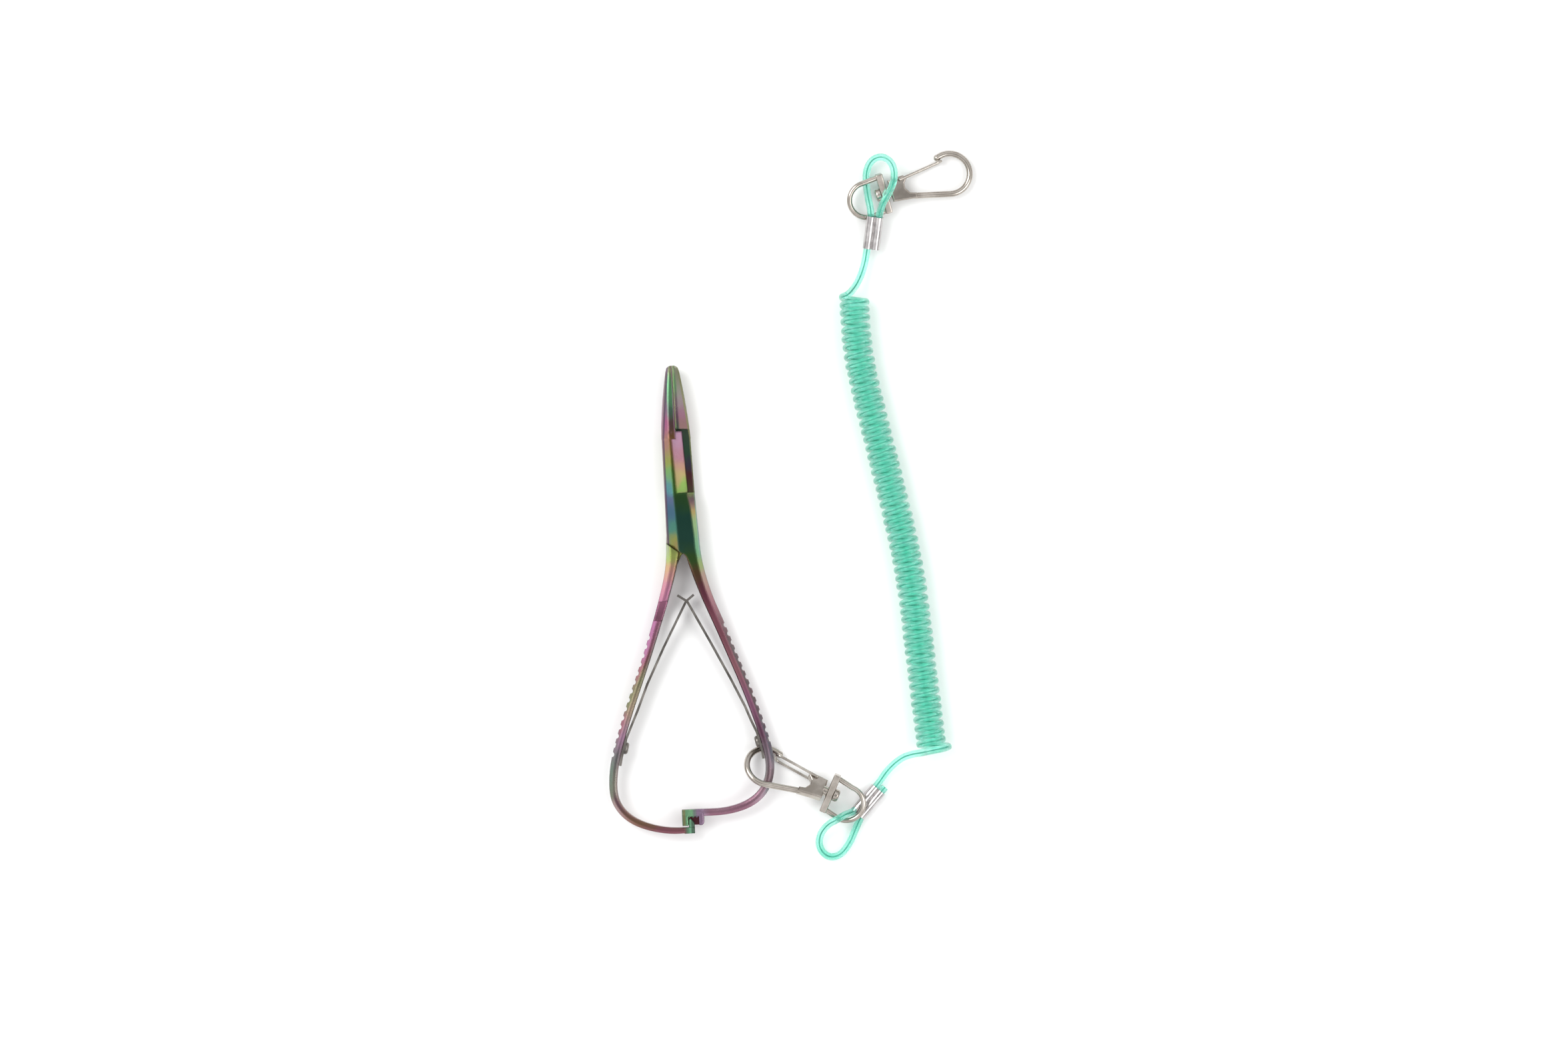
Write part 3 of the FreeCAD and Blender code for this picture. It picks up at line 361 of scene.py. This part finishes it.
def polyurethane(name, spec):
    material, shader, links = newMaterial(name)
    place = addNode(material, "ShaderNodeTexCoord")
    cloud = addNode(material, "ShaderNodeTexNoise", inputs={"Scale": 1000 / spec["patch"], "Detail": 3.0},
                    links={"Vector": place.outputs["Object"]})
    tone = addNode(material, "ShaderNodeValToRGB", links={"Fac": cloud.outputs["Fac"]})
    fillRamp(tone, [(0.3, spec["dark"]), (0.7, spec["light"])], 0.0, 1.0)
    links.new(tone.outputs[0], shader.inputs["Base Color"])
    rough = addNode(material, "ShaderNodeMapRange",
                    inputs={"To Min": spec["rough"][0], "To Max": spec["rough"][1]},
                    links={"Value": cloud.outputs["Fac"]})
    links.new(rough.outputs[0], shader.inputs["Roughness"])
    shader.inputs["IOR"].default_value = spec["ior"]
    shader.inputs["Transmission Weight"].default_value = spec["transmission"]
    shader.inputs["Alpha"].default_value = spec["alpha"]
    strength, depth = spec["bump"]
    bump = addNode(material, "ShaderNodeBump", inputs={"Strength": strength, "Distance": depth * mm},
                   links={"Height": cloud.outputs["Fac"]})
    links.new(bump.outputs[0], shader.inputs["Normal"])
    return material


frontCoating = coatedSteel("coatedSteelFront", filmAndShading["front"])
backCoating = coatedSteel("coatedSteelBack", filmAndShading["back"])
springSteel = plainMetal("temperedSpringSteel", springStrip)
nickel = plainMetal("nickelPlate", castHook)
gateNickel = plainMetal("nickelWire", gateWire)
aluminium = plainMetal("drawnAluminium", crimpSleeve)
jacketPlastic = polyurethane("clearPolyurethane", cordTube)
coreWire = plainMetal("galvanisedWire", cordWire)


def dress(material, *names):
    for name in names:
        nodes[name].data.materials.clear()
        nodes[name].data.materials.append(material)


dress(frontCoating, "front_half", "pivot_screw")
dress(backCoating, "back_half")
dress(springSteel, "right_spring_rivet", "left_spring_rivet", "right_spring_root", "left_spring_root",
      "right_leaf_spring", "left_leaf_spring")
dress(nickel, "lower_hook_body", "upper_hook_body", "lower_swivel_rivet", "upper_swivel_rivet",
      "lower_ring", "upper_ring")
dress(gateNickel, "lower_gate", "upper_gate")
dress(aluminium, "lower_ferrule", "upper_ferrule")
print("metals on")


# ---- cord: one length from the lower sleeve's tail, round the ring, through the coil,
# round the upper ring and back into the upper sleeve

cord = {
    "diameter": 2.2, "coreDiameter": 0.36,
    "turns": 55.15, "pointsPerTurn": 12,
    "coilRadius": 3.58,              # to the middle of the cord
    "startAngle": 152.0,             # degrees, from the left side going over the top
    "topSlope": 0.08,                # how much flatter a turn lies on top than below, in turns
    "looseEnd": 1.5,                 # mm, how far the first turn stands out at the lower end
    "looseAt": 0.42, "looseSpan": 0.4,               # turns
    "spacingWaves": [(0.0011, 1.7, 0.0), (0.0008, 0.61, 1.0)],    # share of the coil, rate, start
    "radiusWaves": [(0.05, 2.3, 0.0), (0.04, 0.9, 2.0)],          # mm, rate, start
    "resolution": 7, "around": 4, "coreAround": 1,
    "lower": [(57.6, -59.25, 1.41), (53.9, -63.1, 1.41), (50.3, -67.1, 1.41),
              (48.2, -71.2, 1.12), (46.3, -75.4, 1.15), (43.2, -79.1, 1.15), (39.4, -79.5, 1.2),
              (36.9, -76.4, 1.2), (37.3, -72.5, 2.2), (39.7, -69.4, 5.0), (42.6, -68.0, 6.5),
              (45.2, -66.6, 5.3), (48.0, -66.1, 1.41), (51.6, -62.3, 1.41), (55.5, -58.3, 1.41),
              (58.6, -54.0, 1.9),
              (62.9, -50.5, 3.3), (66.4, -49.5, 5.0)],
    "coil": [(72.2, -49.3, 4.65), (71.0, -34.0, 4.65), (69.8, -18.0, 4.65), (68.8, -2.0, 4.65),
             (66.9, 13.0, 4.65), (63.9, 28.5, 4.65), (60.7, 44.5, 4.65), (57.4, 60.5, 4.65),
             (55.2, 75.5, 4.65), (55.5, 88.4, 4.65)],
    "upper": [(56.3, 91.3, 3.9), (58.5, 95.7, 2.9), (59.75, 100.3, 2.5), (60.85, 106.4, 3.75),
              (61.9, 112.7, 5.15), (61.0, 117.6, 3.9), (60.7, 122.4, 2.2), (61.1, 126.1, 2.0),
              (63.0, 129.0, 3.2), (66.2, 129.6, 4.5), (68.9, 127.2, 5.7), (69.4, 122.9, 6.4),
              (67.7, 118.8, 6.7), (65.3, 115.4, 6.2), (64.15, 112.1, 5.1), (63.3, 107.0, 3.9),
              (62.36, 101.9, 2.8)],
}


def addSpline(name, points, radius, resolution, around):
    data = bpy.data.curves.new(name, "CURVE")
    data.dimensions = "3D"
    data.resolution_u = resolution
    data.bevel_depth = radius * mm
    data.bevel_resolution = around
    data.use_fill_caps = radius > 0
    spline = data.splines.new("NURBS")
    spline.points.add(len(points) - 1)
    for point, place in zip(spline.points, points):
        point.co = (place[0] * mm, place[1] * mm, place[2] * mm, 1.0)
    spline.order_u = 3
    spline.use_endpoint_u = True
    piece = bpy.data.objects.new(name, data)
    bpy.context.scene.collection.objects.link(piece)
    return piece


guideResolution = 24


def readLine(points):
    guide = addSpline("guide", points, 0.0, guideResolution, 0)
    bpy.context.view_layer.update()
    mesh = bpy.data.meshes.new_from_object(guide)
    line = [v.co / mm for v in mesh.vertices]
    bpy.data.objects.remove(guide)
    return line


def wave(parts, turn):
    return sum(size * math.sin(turn * rate + start) for size, rate, start in parts)


def coilTurns(spec):
    line = readLine(spec["coil"])
    lengths = [0.0]
    for a, b in zip(line, line[1:]):
        lengths.append(lengths[-1] + (b - a).length)
    steps = int(spec["turns"] * spec["pointsPerTurn"])
    points, at = [], 0
    for i in range(steps + 1):
        turn = i / spec["pointsPerTurn"]
        share = (turn + spec["topSlope"] * math.cos(math.tau * turn)) / spec["turns"]
        share += wave(spec["spacingWaves"], turn)
        reach = min(max(share, 0.0), 1.0) * lengths[-1]
        while at < len(line) - 2 and lengths[at + 1] < reach:
            at += 1
        while at > 0 and lengths[at] > reach:
            at -= 1
        part = (reach - lengths[at]) / (lengths[at + 1] - lengths[at])
        centre = line[at].lerp(line[at + 1], part)
        along = (line[at + 1] - line[at]).normalized()
        right = along.cross(Vector((0, 0, 1))).normalized()
        angle = math.radians(spec["startAngle"] - 360.0 * turn)
        radius = spec["coilRadius"] + wave(spec["radiusWaves"], turn)
        loose = max(0.0, 1.0 - abs(turn - spec["looseAt"]) / spec["looseSpan"])
        outward = radius + spec["looseEnd"] * loose
        points.append(centre + right * (outward * math.cos(angle))
                      + Vector((0, 0, radius * math.sin(angle))))
    return points


def makeCord(spec):
    points = [Vector(p) for p in spec["lower"]] + coilTurns(spec) + [Vector(p) for p in spec["upper"]]
    jacket = addSpline("cordJacket", points, spec["diameter"] / 2, spec["resolution"], spec["around"])
    core = addSpline("cordCore", points, spec["coreDiameter"] / 2, spec["resolution"], spec["coreAround"])
    jacket.data.materials.append(jacketPlastic)
    core.data.materials.append(coreWire)
    line = readLine(points)
    length = sum((b - a).length for a, b in zip(line, line[1:]))
    print("cord length %.1f mm" % length)
    return jacket, core, length


jacket, core, cordLength = makeCord(cord)
for piece in (jacket, core):
    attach(piece, "lanyard")
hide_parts("lower_cord", "coil", "upper_cord")
print("cord laid")


# ---- table and light

table = {"size": 6.0, "centre": (0.03, 0.02, -0.0003), "dark": "#f6f6f5", "light": "#fafafa",
         "patchScale": 6.0, "roughness": 0.8}        # metres

# A room of soft white walls. Its grey changes with height, from the floor's level up to
# straight above, which gives round metal a pale band between two darker ones.
studio = {"strength": 1.0, "level": 0.75, "above": 0.55,
          "rings": [(0.35, 0.60), (0.72, 1.15), (0.90, 1.15), (0.965, 0.62)]}    # height, grey
lampAim = (0.03, 0.02, 0)
keyBox = {"place": (-0.45, 0.35, 0.75), "size": (0.5, 0.5), "power": 4.0}        # metres, watts
fillBox = {"place": (0.55, -0.25, 0.7), "size": (0.6, 0.4), "power": 2.0}


def mattePaper(name, spec):
    material, shader, links = newMaterial(name)
    place = addNode(material, "ShaderNodeTexCoord")
    cloud = addNode(material, "ShaderNodeTexNoise", inputs={"Scale": spec["patchScale"], "Detail": 2.0},
                    links={"Vector": place.outputs["Object"]})
    tone = addNode(material, "ShaderNodeValToRGB", links={"Fac": cloud.outputs["Fac"]})
    fillRamp(tone, [(0.3, spec["dark"]), (0.7, spec["light"])], 0.0, 1.0)
    links.new(tone.outputs[0], shader.inputs["Base Color"])
    shader.inputs["Roughness"].default_value = spec["roughness"]
    return material


def addFloor(spec):
    bpy.ops.mesh.primitive_plane_add(size=spec["size"], location=spec["centre"])
    floor = bpy.context.object
    floor.name = "tableTop"
    floor.data.materials.append(mattePaper("mattePaper", spec))


def addWorld(spec):
    world = bpy.data.worlds.new("studio")
    world.use_nodes = True
    background = world.node_tree.nodes["Background"]
    place = addNode(world, "ShaderNodeTexCoord")
    xyz = addNode(world, "ShaderNodeSeparateXYZ", links={0: place.outputs["Generated"]})
    tone = addNode(world, "ShaderNodeValToRGB", links={"Fac": xyz.outputs["Z"]})
    world.node_tree.links.new(tone.outputs[0], background.inputs["Color"])
    ramp = tone.color_ramp
    ramp.interpolation = "EASE"
    ramp.elements[0].position, ramp.elements[0].color = 0.0, (spec["level"],) * 3 + (1,)
    ramp.elements[1].position, ramp.elements[1].color = 1.0, (spec["above"],) * 3 + (1,)
    for height, grey in spec["rings"]:
        ramp.elements.new(height).color = (grey, grey, grey, 1)
    background.inputs["Strength"].default_value = spec["strength"]
    bpy.context.scene.world = world


def addSoftbox(name, spec):
    data = bpy.data.lights.new(name, "AREA")
    data.shape, data.energy = "RECTANGLE", spec["power"]
    data.size, data.size_y = spec["size"]
    lamp = bpy.data.objects.new(name, data)
    lamp.location = spec["place"]
    lamp.rotation_euler = (Vector(lampAim) - Vector(spec["place"])).to_track_quat("-Z", "Y").to_euler()
    bpy.context.scene.collection.objects.link(lamp)


addFloor(table)
addWorld(studio)
addSoftbox("keyBox", keyBox)
addSoftbox("fillBox", fillBox)
bpy.context.scene.view_settings.view_transform = "Standard"
print("studio lit")
